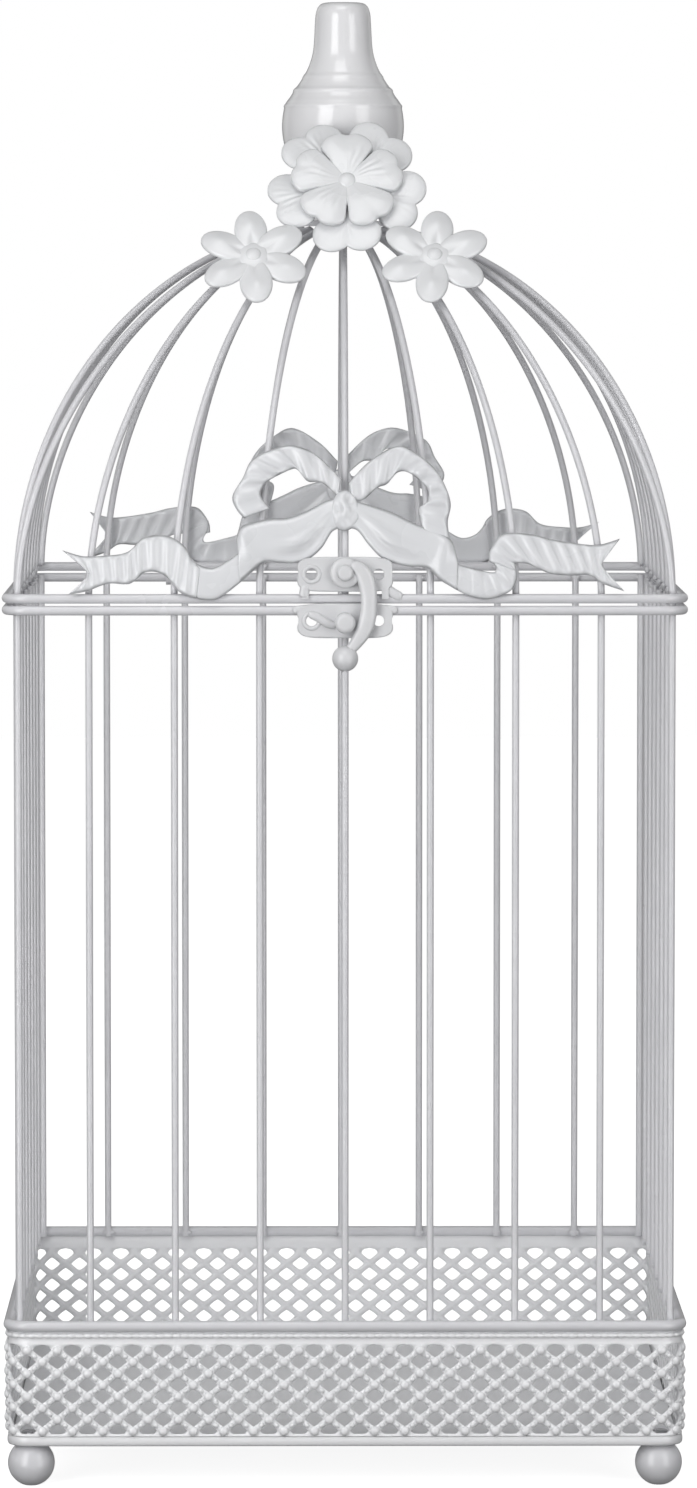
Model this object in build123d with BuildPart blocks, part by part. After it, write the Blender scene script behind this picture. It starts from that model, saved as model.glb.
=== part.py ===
from build123d import *
from math import acos, cos, hypot, radians, sin, sqrt, tan
import os

# A square wire bird cage that takes wedding cards: a barred box on a pierced tray, with a domed lid
# that hinges up at the rear and is held shut in front by a small swinging hook.
# Millimetres, +Z up, the front faces -Y, and the origin is the centre of the plan at floor level.

# ---- plan and wires ----
ring_half = 100.0           # middle of the square to the centreline of either rim wire
corner_bend = 6.0           # bend radius of the rims at each corner, on the centreline
ring_wire = 2.8             # wire of the two rims
bar_wire = 2.1              # wire of the bars, corner posts and dome ribs
bar_pitch = 25.2            # spacing of the bars and ribs along a side
bars_each_side = 7
weld_set = 0.15             # how far one wire is sunk into another where they are welded

# ---- heights ----
body_rim_height = 261.1     # centreline of the cage's top rim
rim_gap = 0.7               # daylight between the two rims with the lid shut
tray_rim_height = 48.4      # centreline of the tray's top wire
tray_rim_wire = 3.3
band_bottom = 12.5          # bottom edge of the tray's pierced band
crown_rise = 109.9          # centreline of the ribs, from the lid rim up to the top of the dome
rib_end_share = 0.12        # the ribs stop at this share of the way out from the dome's axis
side_fullness = 2.0         # power of the side ribs' curve: 2 is an ellipse, less is flatter
face_fullness = 1.85        # the same for the front, rear and corner ribs
rib_points = 13             # places that a rib's curve goes through
bar_end_set = 0.4           # how far short of a rim's far side each bar stops

# ---- tray ----
band_sheet = 1.2
diamond_pitch = 8.9         # pierced diamonds along a side
diamond_rise = 7.1          # pierced diamonds up the band
diamond_width = 5.4
diamond_height = 4.3
diamond_rows = 3
diamond_lift = 7.1          # middle of the lowest row of diamonds above the band's bottom edge
pan_sheet = 1.0
pan_gap = 0.3               # between the floor pan's edge and the band
pan_lift = 1.0              # underside of the floor pan above the band's bottom edge
foot_ball = 14.0
foot_inset = 6.5            # centre of each foot, inboard of the rim's centreline
foot_flat = 2.2             # radius of the flat that each foot stands on
foot_screw = 3.0
foot_screw_head = 6.0
foot_screw_head_height = 1.8
foot_screw_length = 9.0
screw_clearance = 0.05

# ---- crown and finial ----
crown_overhang = 1.2        # crown disc's edge beyond the corner ribs' ends
crown_sheet = 1.6
finial_height = 66.9
finial_foot = 9.5           # radius of the finial's foot
finial_waist = 8.0          # radius of the neck between the foot and the bulb
finial_bulb = 18.75         # radius of the bulb
finial_bulb_height = 29.1   # middle of the bulb above the finial's foot
finial_stem = 8.8           # radius of the stem above the bulb
finial_stem_bottom = 52.0   # where the stem's flare ends
finial_top_round = 5.0
finial_shoulder = 14.3      # radius of the shoulder bead over the bulb
finial_shoulder_height = 40.8
finial_shoulder_bead = 0.9  # half the height of that bead
finial_flare = 4.0          # height over which the flare turns into the stem
finial_screw = 4.0
finial_screw_head = 9.0
finial_screw_head_height = 2.4
finial_screw_length = 12.0

# ---- latch ----
plate_half = 13.8           # half the width of either latch plate
plate_sheet = 1.0
plate_end = 3.2             # radius of the scallops at a plate's ends
plate_hole = 3.4
plate_hole_reach = 9.9      # middle of a plate to each of its holes
plate_height = 9.2
latch_plate_lift = 2.7      # bottom of the lid's plate above the lid rim
plate_foot = 2.0            # width of the two feet under the upper plate
plate_foot_reach = 11.8
catch_plate_drop = 7.5      # bottom of the cage's plate below its rim
rivet_lift = 7.8            # hook's rivet above the lid rim
rivet_shank = 2.4
rivet_head = 4.8
hook_gap = 0.3              # between the hook's flat back and the plates
hook_thickness = 2.6
hook_eye = 4.4              # radius of the hook's eye
hook_width = 3.7
hook_reach = 7.2            # rivet to the hook's shank, sideways
hook_drop = 25.2            # rivet down to the hook's ball
hook_shoulder_bend = 4.0
hook_ball = 7.7
hook_bore_gap = 0.08
hook_bend_ease = 0.2        # the hook's lower bend is this much tighter than its reach
stud_drop = 3.4             # catch stud below the cage's rim
stud_diameter = 6.1
stud_length = 5.2

# ---- hinge clips ----
clip_reach = 54.0           # middle of the cage to each clip
clip_length = 5.0
clip_sheet = 0.9
clip_gap = 0.1              # running clearance around the cage's rim wire

# ---- bows ----
bow_sheet = 1.2
bow_lean = 12.0             # degrees that a bow leans back with the dome
bow_lift = 25.6             # middle of the knot above the lid rim
bow_rim_gap = 0.6           # between the lid rim and the lowest tails
knot_width = 9.0
knot_height = 13.0
knot_front = 3.0            # how far the knot stands out from the middle of the ribbon
knot_round = 1.2

# ---- flowers ----
flower_sheet = 1.0
big_flower_aside = 1.0
big_flower_forward = 17.0   # in front of the crown disc's edge
big_flower_rise = 10.3      # above the crown disc
big_flower_tilt = 34.0      # degrees that it looks up
big_back_petals = 5
big_back_lobe = 7.6         # radius of each lobe, two to a petal
big_back_reach = 17.0       # middle of the flower to each lobe
big_back_split = 17.0       # degrees from a petal's middle to its lobes
big_front_petals = 5
big_front_lobe = 6.6
big_front_reach = 11.0
big_layer_gap = 3.0         # from the back layer up to the front layer
big_bead = 6.0
small_flower_share = 0.47   # where on its rib a small flower sits, as a share of the way out
small_flower_aside = 3.5    # from that place on the rib to the flower's middle
small_flower_forward = 6.7
small_flower_rise = 6.0
small_flower_tilt = 37.0
small_petals = 6
small_petal_length = 15.0
small_petal_width = 9.6
small_petal_reach = 9.4
small_petal_sheet = 2.0
small_bead = 5.0
stem_wire = 2.1

# ---- worked out from the sizes above ----
lid_rim_height = body_rim_height + ring_wire + rim_gap
bar_half = ring_half - ring_wire / 2 - bar_wire / 2 + weld_set
corner_centre = ring_half - corner_bend
post_half = corner_centre + (corner_bend - ring_wire / 2 - bar_wire / 2 + weld_set) * cos(radians(45))
bar_bottom = tray_rim_height - tray_rim_wire / 2 + bar_end_set
bar_top = body_rim_height + ring_wire / 2 - bar_end_set
band_top = tray_rim_height - tray_rim_wire / 2 + weld_set
pan_bottom = band_bottom + pan_lift
pan_top = pan_bottom + pan_sheet
foot_centre = ring_half - foot_inset
foot_middle = sqrt((foot_ball / 2) ** 2 - foot_flat**2)
rib_end_height = lid_rim_height + crown_rise * (1 - rib_end_share**face_fullness) ** (1 / face_fullness)
crown_bottom = rib_end_height + bar_wire / 2 - 2 * weld_set
crown_top = crown_bottom + crown_sheet
crown_radius = rib_end_share * hypot(post_half, post_half) + crown_overhang
diamond_base = band_bottom + diamond_lift
diamond_columns = int((2 * corner_centre - diamond_width) / diamond_pitch)
plate_back = ring_half + ring_wire / 2 - weld_set
plate_front = plate_back + plate_sheet
hook_back = plate_front + hook_gap
hook_front = hook_back + hook_thickness
latch_plate_bottom = lid_rim_height + latch_plate_lift
latch_plate_top = latch_plate_bottom + plate_height
rivet_height = lid_rim_height + rivet_lift
catch_plate_bottom = body_rim_height - catch_plate_drop
catch_plate_top = catch_plate_bottom + plate_height
stud_height = body_rim_height - stud_drop
bow_height = lid_rim_height + bow_lift

bar_places = [(i - (bars_each_side - 1) / 2) * bar_pitch for i in range(bars_each_side)]
sides = {"front": 0, "right": 90, "rear": 180, "left": 270}
corners = [(x, y) for x in (-1, 1) for y in (-1, 1)]


def save(piece, name):
    piece.part.label = name
    export_step(piece.part, f"parts/{name}.step")


def round_ring(height, wire):
    """A square wire ring with bent corners."""
    half = ring_half
    with BuildPart() as ring:
        with BuildLine(Plane.XY.offset(height)) as path:
            FilletPolyline(
                (-half, -half), (half, -half), (half, half), (-half, half), radius=corner_bend, close=True
            )
        with BuildSketch(Plane(origin=path.line @ 0, z_dir=path.line % 0)):
            Circle(wire / 2)
        sweep()
    return ring


def upright_wires(places, bottom, top):
    """Straight wires standing at the given places of the plan."""
    with BuildPart() as wires:
        with BuildSketch(Plane.XY.offset(bottom)):
            with Locations(*places):
                Circle(bar_wire / 2)
        extrude(amount=top - bottom)
    return wires


def side_places(turn):
    """Where the bars of one side stand."""
    return [Vector(x, -bar_half).rotate(Axis.Z, turn) for x in bar_places]


def rise_at(share, fullness):
    """How high a rib is above the lid rim where it is at a share of the way out from the axis."""
    return crown_rise * (1 - share**fullness) ** (1 / fullness)


def rib_curve(x, y, fullness):
    """Points along a rib from its foot on the rim to its end at the crown, evenly turned about the rim's middle."""
    last = acos(rib_end_share ** (fullness / 2))
    shares = [cos(last * i / (rib_points - 1)) ** (2 / fullness) for i in range(rib_points)]
    return [Vector(x * share, y * share, lid_rim_height + rise_at(share, fullness)) for share in shares]


def dome_ribs(places, fullness):
    """Ribs that rise from the lid rim to the crown, each a flattened quarter ellipse in a plane through the axis."""
    with BuildPart() as ribs:
        for x, y in places:
            with BuildLine() as path:
                Spline(*rib_curve(x, y, fullness))
            with BuildSketch(Plane(origin=path.line @ 0, z_dir=path.line % 0)) as section:
                Circle(bar_wire / 2)
            sweep(sections=section.sketch, path=path.line)
    return ribs


def on_dome(x, y):
    """The point on the front ribs' own curved surface, at their centrelines, over a place in the front half."""
    return Vector(x, y, lid_rim_height + rise_at(-y / bar_half, face_fullness))


def gallery_panel(turn):
    """One flat side of the tray's band, pierced with staggered diamonds."""
    outward = Vector(0, -1, 0).rotate(Axis.Z, turn)
    along = Vector(1, 0, 0).rotate(Axis.Z, turn)
    panel_plane = Plane(outward * (ring_half - band_sheet / 2), x_dir=along, z_dir=outward)
    middle = (band_bottom + band_top) / 2
    with BuildPart() as panel:
        with BuildSketch(panel_plane):
            with Locations((0, middle)):
                Rectangle(2 * corner_centre, band_top - band_bottom)
            for row in range(2 * diamond_rows):
                columns = diamond_columns - row % 2
                with Locations((0, diamond_base + row * diamond_rise / 2)):
                    with GridLocations(diamond_pitch, 1, columns, 1):
                        Polygon(
                            (-diamond_width / 2, 0),
                            (0, -diamond_height / 2),
                            (diamond_width / 2, 0),
                            (0, diamond_height / 2),
                            align=None,
                            mode=Mode.SUBTRACT,
                        )
        extrude(amount=band_sheet)
    return panel


# ---- cage body ----
def build_tray():
    save(round_ring(tray_rim_height, tray_rim_wire), "tray_rim")
    for side, turn in sides.items():
        save(gallery_panel(turn), f"gallery_{side}")

    outer = corner_bend + band_sheet / 2
    with BuildPart() as gallery_corners:
        with BuildSketch(Plane.XY.offset(band_bottom)):
            for x, y in corners:
                with Locations((x * corner_centre, y * corner_centre)):
                    Circle(outer)
                    Circle(outer - band_sheet, mode=Mode.SUBTRACT)
                Rectangle(2 * corner_centre, 2 * ring_half + band_sheet, mode=Mode.SUBTRACT)
                Rectangle(2 * ring_half + band_sheet, 2 * corner_centre, mode=Mode.SUBTRACT)
        extrude(amount=band_top - band_bottom)
    save(gallery_corners, "gallery_corners")

    pan_half = ring_half - band_sheet / 2 - pan_gap
    with BuildPart() as floor_pan:
        with BuildSketch(Plane.XY.offset(pan_bottom)):
            RectangleRounded(2 * pan_half, 2 * pan_half, corner_bend - band_sheet / 2)
            with GridLocations(2 * foot_centre, 2 * foot_centre, 2, 2):
                Circle(foot_screw / 2 + screw_clearance, mode=Mode.SUBTRACT)
        extrude(amount=pan_sheet)
    save(floor_pan, "floor_pan")


def build_feet():
    for name, (x, y) in zip(("rear_left", "front_left", "rear_right", "front_right"), corners):
        y = -y
        with BuildPart() as foot:
            with Locations((x * foot_centre, y * foot_centre, foot_middle)):
                Sphere(foot_ball / 2)
            split(bisect_by=Plane.XY, keep=Keep.TOP)
            split(bisect_by=Plane.XY.offset(pan_bottom), keep=Keep.BOTTOM)
            with BuildSketch(Plane.XY.offset(pan_bottom)):
                with Locations((x * foot_centre, y * foot_centre)):
                    Circle(foot_screw / 2 + screw_clearance)
            extrude(amount=-foot_screw_length, mode=Mode.SUBTRACT)
        save(foot, f"foot_{name}")

    with BuildPart() as foot_screws:
        with BuildSketch(Plane.XY.offset(pan_top)):
            with GridLocations(2 * foot_centre, 2 * foot_centre, 2, 2):
                Circle(foot_screw_head / 2)
        extrude(amount=foot_screw_head_height)
        fillet(foot_screws.edges().group_by(Axis.Z)[-1], foot_screw_head_height / 2)
        with BuildSketch(Plane.XY.offset(pan_top)):
            with GridLocations(2 * foot_centre, 2 * foot_centre, 2, 2):
                Circle(foot_screw / 2)
        extrude(amount=-(foot_screw_length - 1))
    save(foot_screws, "foot_screws")


def build_cage():
    save(round_ring(body_rim_height, ring_wire), "body_rim")
    posts = [(x * post_half, y * post_half) for x, y in corners]
    save(upright_wires(posts, bar_bottom, bar_top), "corner_posts")
    for side, turn in sides.items():
        save(upright_wires(side_places(turn), bar_bottom, bar_top), f"{side}_bars")


# ---- lid ----
def build_lid():
    save(round_ring(lid_rim_height, ring_wire), "lid_rim")
    for side, turn in sides.items():
        fullness = side_fullness if side in ("left", "right") else face_fullness
        save(dome_ribs([(place.X, place.Y) for place in side_places(turn)], fullness), f"{side}_ribs")
    save(dome_ribs([(x * post_half, y * post_half) for x, y in corners], face_fullness), "corner_ribs")

    with BuildPart() as crown_disc:
        with BuildSketch(Plane.XY.offset(crown_bottom)):
            Circle(crown_radius)
            Circle(finial_screw / 2 + screw_clearance, mode=Mode.SUBTRACT)
        extrude(amount=crown_sheet)
    save(crown_disc, "crown_disc")


def build_finial():
    cove = finial_foot - finial_waist
    bulb_foot = (finial_waist + cove, 4 * cove + 2)
    neck_foot = (finial_shoulder - finial_shoulder_bead, finial_shoulder_height + 2 * finial_shoulder_bead)
    stem_foot = (finial_stem, finial_stem_bottom + finial_flare)
    round_start = (finial_stem, finial_height - finial_top_round)
    round_end = (finial_stem - finial_top_round, finial_height)
    with BuildPart() as finial:
        with BuildSketch(Plane.XZ):
            with BuildLine():
                Polyline((0, finial_height), (0, 0), (finial_foot, 0), (finial_foot, cove))
                Spline((finial_foot, cove), (finial_waist, 2 * cove + 1), bulb_foot, tangents=((0, 1), (1, 1)))
                Spline(
                    bulb_foot,
                    (finial_bulb, finial_bulb_height),
                    (finial_shoulder, finial_shoulder_height),
                    tangents=((1, 0.75), (-1, 1)),
                )
                ThreePointArc(
                    (finial_shoulder, finial_shoulder_height),
                    (finial_shoulder + finial_shoulder_bead / 2, finial_shoulder_height + finial_shoulder_bead),
                    neck_foot,
                )
                Spline(
                    neck_foot,
                    (finial_stem + finial_flare / 3, finial_stem_bottom - finial_flare),
                    stem_foot,
                    tangents=((-1, 1), (0, 1)),
                )
                Line(stem_foot, round_start)
                TangentArc(round_start, round_end, tangent=(0, 1))
                Line(round_end, (0, finial_height))
            make_face()
        revolve(axis=Axis.Z)
        with BuildSketch(Plane.XY):
            Circle(finial_screw / 2 + screw_clearance)
        extrude(amount=finial_screw_length, mode=Mode.SUBTRACT)
    finial.part.locate(Location((0, 0, crown_top)))
    save(finial, "finial")

    with BuildPart() as finial_screw_part:
        with BuildSketch(Plane.XY.offset(crown_bottom)):
            Circle(finial_screw_head / 2)
        extrude(amount=-finial_screw_head_height)
        fillet(finial_screw_part.edges().group_by(Axis.Z)[0], finial_screw_head_height / 3)
        with BuildSketch(Plane.XY.offset(crown_bottom)):
            Circle(finial_screw / 2)
        extrude(amount=finial_screw_length)
    save(finial_screw_part, "finial_screw")


# ---- bows ----
def ribbon(upper_edge, lower_edge):
    """A flat stretch of ribbon between two edges that run the same way."""
    with BuildLine() as outline:
        Spline(*upper_edge)
        Line(upper_edge[-1], lower_edge[-1])
        Spline(*lower_edge)
        Line(lower_edge[0], upper_edge[0])
    make_face(outline.edges())


def build_bow(name, facing):
    """A stamped bow: two loops, two ribbons that end in forked tails, and the knot over them."""
    knot_share = (1 - (bow_lift / crown_rise) ** face_fullness) ** (1 / face_fullness)
    knot_place = on_dome(0, -bar_half * knot_share)
    lean = radians(bow_lean)
    rim_front = -(ring_half + ring_wire / 2 + bow_rim_gap + bow_sheet / 2)
    origin = Vector(0, rim_front + bow_lift * tan(lean), bow_height)
    knot_back = knot_place.Y - bar_wire / 2 - origin.Y + weld_set
    normal = Vector(0, -cos(lean), sin(lean))
    if facing == "rear":
        origin = origin.rotate(Axis.Z, 180)
        normal = normal.rotate(Axis.Z, 180)
    across = Vector(1, 0, 0) if facing == "front" else Vector(-1, 0, 0)
    bow_plane = Plane(origin, x_dir=across, z_dir=normal)
    with BuildPart() as bow:
        with BuildSketch(bow_plane):
            ribbon(
                [(-1, 10), (-12.2, 18.9), (-18.1, 19.6), (-27, 15.8), (-33.2, 4.6), (-30.5, -4)],
                [(-2, 4), (-6.8, 8.5), (-11, 9), (-15, 12.4), (-22.2, 9.4), (-24.4, 4.8), (-21.9, -3)],
            )
            ribbon(
                [(1, 9), (7.1, 14.9), (15.4, 19.6), (27.6, 11.3), (31.1, 3), (30.5, -7)],
                [(2, 3), (9.5, 7), (15.7, 11.6), (19.3, 11.3), (24.3, 5), (21.6, 0.6), (24, -7)],
            )
            ribbon(
                [(0, 4), (-11.6, 0), (-21.9, -3), (-30.5, -4), (-32, -7.3), (-31.1, -12.2), (-39.1, -17),
                 (-47.4, -10.3), (-56, -7.2), (-71.7, -13.1), (-83.3, -11.6)],
                [(0, -5), (-6.8, -10.9), (-14.8, -15.5), (-23.4, -15.2), (-31.7, -21.9), (-39.1, -26.5),
                 (-49.2, -23.7), (-56, -18.2), (-63.4, -21.9), (-69.7, -21.6), (-81.5, -24.9)],
            )
            ribbon(
                [(0, 4), (13, 0), (23.4, -4.9), (31.1, -8.5), (33.2, -15.5), (43.6, -17.8), (42.7, -12),
                 (47.5, -6.6), (61.4, -8.5), (75.3, -9.7), (81, -8.2)],
                [(0, -5), (7.1, -10.3), (18.1, -16.4), (27.6, -20.4), (37.4, -25.5), (48.3, -24),
                 (50.7, -17.5), (54, -15.8), (66.4, -19.2), (75.3, -21.6), (82.2, -23.4)],
            )
        extrude(amount=bow_sheet / 2, both=True)
        with BuildSketch(bow_plane.offset(-knot_back)):
            Ellipse(knot_width / 2, knot_height / 2)
        extrude(amount=knot_front + knot_back)
        fillet(bow.faces().sort_by(Axis(origin, normal))[-1].edges(), knot_round)
    save(bow, name)


# ---- flowers ----
def facing_up(place, tilt):
    """The plane of a flower that looks out to the front and up by a tilt."""
    lean = radians(tilt)
    return Plane(place, x_dir=(1, 0, 0), z_dir=(0, -cos(lean), sin(lean)))


def bead(plane, height, diameter):
    """A bead that stands on a flower's middle, flat where it sits."""
    with BuildPart() as ball:
        with BuildSketch(plane.offset(height)):
            with BuildLine():
                ThreePointArc((0, diameter / 2), (diameter / 2, 0), (0, -diameter / 2))
                Line((0, -diameter / 2), (0, diameter / 2))
            make_face()
        revolve(axis=Axis(plane.offset(height).origin, plane.y_dir))
        split(bisect_by=plane.offset(height), keep=Keep.TOP)
    return ball


def stem(start, end):
    """A short wire between a flower's back and the wire that carries it."""
    with BuildPart() as wire:
        with BuildSketch(Plane(start, z_dir=end - start)):
            Circle(stem_wire / 2)
        extrude(amount=(end - start).length)
    return wire


def build_flowers():
    big_place = (big_flower_aside, -crown_radius - big_flower_forward, crown_top + big_flower_rise)
    big_plane = facing_up(big_place, big_flower_tilt)
    with BuildPart() as back_petals:
        with BuildSketch(big_plane):
            Circle(big_back_reach)
            for side in (-1, 1):
                with PolarLocations(big_back_reach, big_back_petals, start_angle=-90 + side * big_back_split):
                    Circle(big_back_lobe)
        extrude(amount=flower_sheet / 2, both=True)
    save(back_petals, "big_flower_back")

    front_plane = big_plane.offset(big_layer_gap)
    with BuildPart() as front_petals:
        with BuildSketch(front_plane):
            Circle(big_front_reach)
            with PolarLocations(big_front_reach, big_front_petals, start_angle=90):
                Circle(big_front_lobe)
        extrude(amount=flower_sheet / 2, both=True)
        with BuildSketch(big_plane.offset(flower_sheet / 2)):
            Circle(big_bead / 2)
        extrude(amount=big_layer_gap - flower_sheet)
    save(front_petals, "big_flower_front")
    save(bead(front_plane, flower_sheet / 2, big_bead), "big_flower_bead")

    crown_edge = Vector(0, -crown_radius + weld_set, (crown_bottom + crown_top) / 2)
    big_back = big_plane.offset(-flower_sheet / 2 + weld_set).origin
    save(stem(big_back, crown_edge), "big_flower_stem")

    for name, side in (("left", -1), ("right", 1)):
        rib_middle = on_dome(side * 2 * bar_pitch * small_flower_share, -bar_half * small_flower_share)
        place = rib_middle + Vector(side * small_flower_aside, -small_flower_forward, small_flower_rise)
        plane = facing_up(place, small_flower_tilt)
        with BuildPart() as petals:
            with BuildSketch(plane):
                Circle(small_petal_width / 2)
                with PolarLocations(small_petal_reach, small_petals, start_angle=90 - side * 5):
                    Ellipse(small_petal_length / 2, small_petal_width / 2)
            extrude(amount=small_petal_sheet / 2, both=True)
        save(petals, f"small_flower_{name}")
        save(bead(plane, small_petal_sheet / 2, small_bead), f"small_flower_{name}_bead")
        back = plane.offset(-small_petal_sheet / 2 + weld_set).origin
        landing = rib_middle - (rib_middle - back).normalized() * (bar_wire / 2 - weld_set)
        save(stem(back, landing), f"small_flower_{name}_stem")


# ---- latch ----
def latch_outline(bottom, top):
    """A plate with a pair of scallops at each end, and its two screw holes."""
    middle = (bottom + top) / 2
    with Locations((0, middle)):
        Rectangle(2 * (plate_half - plate_end), top - bottom)
    with Locations((0, middle)):
        Rectangle(2 * plate_half, plate_end)
        with GridLocations(2 * (plate_half - plate_end), top - bottom - 2 * plate_end, 2, 2):
            Circle(plate_end)
        with GridLocations(2 * plate_hole_reach, 1, 2, 1):
            Circle(plate_hole / 2, mode=Mode.SUBTRACT)


def build_latch():
    plate_plane = Plane.XZ.offset(plate_back)
    with BuildPart() as latch_plate:
        with BuildSketch(plate_plane):
            latch_outline(latch_plate_bottom, latch_plate_top)
            with Locations((0, (lid_rim_height + latch_plate_bottom + 1) / 2)):
                with GridLocations(2 * plate_foot_reach, 1, 2, 1):
                    Rectangle(plate_foot, latch_plate_bottom + 1 - lid_rim_height)
            with Locations((0, rivet_height)):
                Circle(rivet_shank / 2, mode=Mode.SUBTRACT)
        extrude(amount=plate_sheet)
    save(latch_plate, "latch_plate")

    with BuildPart() as latch_rivet:
        with BuildSketch(plate_plane):
            with Locations((0, rivet_height)):
                Circle(rivet_shank / 2)
        extrude(amount=hook_front + hook_bore_gap - plate_back)
        with BuildSketch(Plane.XZ.offset(hook_front + hook_bore_gap)):
            with Locations((0, rivet_height)):
                Circle(rivet_head / 2)
        extrude(amount=rivet_head / 4)
        fillet(latch_rivet.faces().sort_by(Axis.Y)[0].edges(), rivet_head / 4 - 0.1)
    save(latch_rivet, "latch_rivet")

    with BuildPart() as latch_hook:
        with BuildSketch(Plane.XZ.offset(hook_back)):
            with BuildLine():
                FilletPolyline(
                    (0, rivet_height),
                    (hook_reach, rivet_height - hook_reach),
                    (hook_reach, rivet_height - hook_drop),
                    (0, rivet_height - hook_drop),
                    radius=[hook_shoulder_bend, hook_reach - hook_bend_ease],
                )
            trace(line_width=hook_width)
            with Locations((0, rivet_height)):
                Circle(hook_eye)
                Circle(rivet_shank / 2 + hook_bore_gap, mode=Mode.SUBTRACT)
        extrude(amount=hook_thickness)
        with Locations((0, -(hook_back + hook_front) / 2, rivet_height - hook_drop)):
            Sphere(hook_ball / 2, rotation=(90, 0, 0))
        split(bisect_by=Plane.XZ.offset(hook_back), keep=Keep.TOP)
    save(latch_hook, "latch_hook")

    with BuildPart() as catch_plate:
        with BuildSketch(plate_plane):
            latch_outline(catch_plate_bottom, catch_plate_top)
            with Locations((0, stud_height)):
                Circle(rivet_shank / 2, mode=Mode.SUBTRACT)
        extrude(amount=plate_sheet)
    save(catch_plate, "catch_plate")

    with BuildPart() as catch_stud:
        with BuildSketch(plate_plane):
            with Locations((0, stud_height)):
                Circle(rivet_shank / 2)
        extrude(amount=plate_sheet)
        with BuildSketch(Plane.XZ.offset(plate_front)):
            with Locations((0, stud_height)):
                Circle(stud_diameter / 2)
        extrude(amount=stud_length)
        fillet(catch_stud.faces().sort_by(Axis.Y)[0].edges(), stud_diameter / 4)
    save(catch_stud, "catch_stud")


def build_hinge_clips():
    """Straps closed round both rims at the rear: tight on the lid's rim, running on the cage's."""
    running_bore = ring_wire / 2 + clip_gap
    tight_bore = ring_wire / 2 - weld_set
    for name, side in (("left", -1), ("right", 1)):
        with BuildPart() as clip:
            with BuildSketch(Plane.YZ.offset(side * clip_reach - clip_length / 2)):
                with Locations((ring_half, body_rim_height)):
                    Circle(running_bore + clip_sheet)
                with Locations((ring_half, lid_rim_height)):
                    Circle(tight_bore + clip_sheet)
                make_hull()
                with Locations((ring_half, body_rim_height)):
                    Circle(running_bore, mode=Mode.SUBTRACT)
                with Locations((ring_half, lid_rim_height)):
                    Circle(tight_bore, mode=Mode.SUBTRACT)
            extrude(amount=clip_length)
        save(clip, f"hinge_clip_{name}")


os.makedirs("parts", exist_ok=True)
build_tray()
build_feet()
build_cage()
build_lid()
build_finial()
build_bow("bow_front", "front")
build_bow("bow_rear", "rear")
build_flowers()
build_latch()
build_hinge_clips()
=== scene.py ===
import math
import bpy
import numpy as np
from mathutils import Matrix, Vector


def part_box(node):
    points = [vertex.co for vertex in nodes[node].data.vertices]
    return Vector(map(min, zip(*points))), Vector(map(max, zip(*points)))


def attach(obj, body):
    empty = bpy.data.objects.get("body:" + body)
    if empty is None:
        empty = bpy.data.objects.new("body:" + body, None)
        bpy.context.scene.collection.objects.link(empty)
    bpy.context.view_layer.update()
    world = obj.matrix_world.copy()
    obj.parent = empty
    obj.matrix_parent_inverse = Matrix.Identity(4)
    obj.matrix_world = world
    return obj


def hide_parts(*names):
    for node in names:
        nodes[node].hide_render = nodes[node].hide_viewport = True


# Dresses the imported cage: white coated wire, pierced gallery, pressed bows and flowers, cast hook.
# Shapes are worked out in millimetres on grids and put in the mesh in metres.

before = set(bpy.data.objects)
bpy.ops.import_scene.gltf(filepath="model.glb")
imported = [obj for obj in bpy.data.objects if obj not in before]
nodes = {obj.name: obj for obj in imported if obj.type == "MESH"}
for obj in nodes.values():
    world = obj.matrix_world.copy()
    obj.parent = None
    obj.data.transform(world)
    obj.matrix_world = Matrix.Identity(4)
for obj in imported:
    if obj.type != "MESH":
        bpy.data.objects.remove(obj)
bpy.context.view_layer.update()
mm = 0.001


def nodeBox(name):
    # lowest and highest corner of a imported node, in millimetres
    low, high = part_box(name)
    return np.array(low) / mm, np.array(high) / mm


print("frame loaded")

# the camera looks down a little at the front, turned a touch to the left
view = {"distance": 2.1836, "swing": 0.358, "height": 0.37375, "aim": (0.0017, 0.0, 0.2144), "lens": 171.3}


def addCamera():
    swing = math.radians(view["swing"])
    data = bpy.data.cameras.new("frontView")
    data.lens = view["lens"]
    data.sensor_width = 36
    camera = bpy.data.objects.new("frontView", data)
    camera.location = (
        -view["distance"] * math.sin(swing),
        -view["distance"] * math.cos(swing),
        view["height"],
    )
    towards = Vector(view["aim"]) - camera.location
    camera.rotation_euler = towards.to_track_quat("-Z", "Y").to_euler()
    bpy.context.scene.collection.objects.link(camera)
    bpy.context.scene.camera = camera


addCamera()
print("camera set")

# soft boxes: where they stand, how big they are and their power
softBoxes = {
    "leftBox": {"place": (-0.42, -0.62, 0.30), "size": (0.34, 0.90), "power": 3.3},
    "rightBox": {"place": (0.46, -0.60, 0.24), "size": (0.30, 0.90), "power": 2.1},
    "topBox": {"place": (-0.1, -0.55, 1.15), "size": (0.5, 0.5), "power": 1.9},
    "rearLeftBox": {"place": (-0.7, 0.9, 0.6), "size": (0.6, 0.8), "power": 0.6},
    "rearRightBox": {"place": (0.7, 0.9, 0.6), "size": (0.6, 0.8), "power": 0.6},
}
surround = {"seen": 1.0, "above": 0.26, "level": 0.18, "below": 0.13}


def addLights():
    middle = Vector((0, 0, 0.22))
    for name, box in softBoxes.items():
        data = bpy.data.lights.new(name, "AREA")
        data.shape = "RECTANGLE"
        data.size, data.size_y = box["size"]
        data.energy = box["power"]
        lamp = bpy.data.objects.new(name, data)
        lamp.location = box["place"]
        lamp.rotation_euler = (middle - lamp.location).to_track_quat("-Z", "Y").to_euler()
        lamp.visible_camera = False
        bpy.context.scene.collection.objects.link(lamp)


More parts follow.
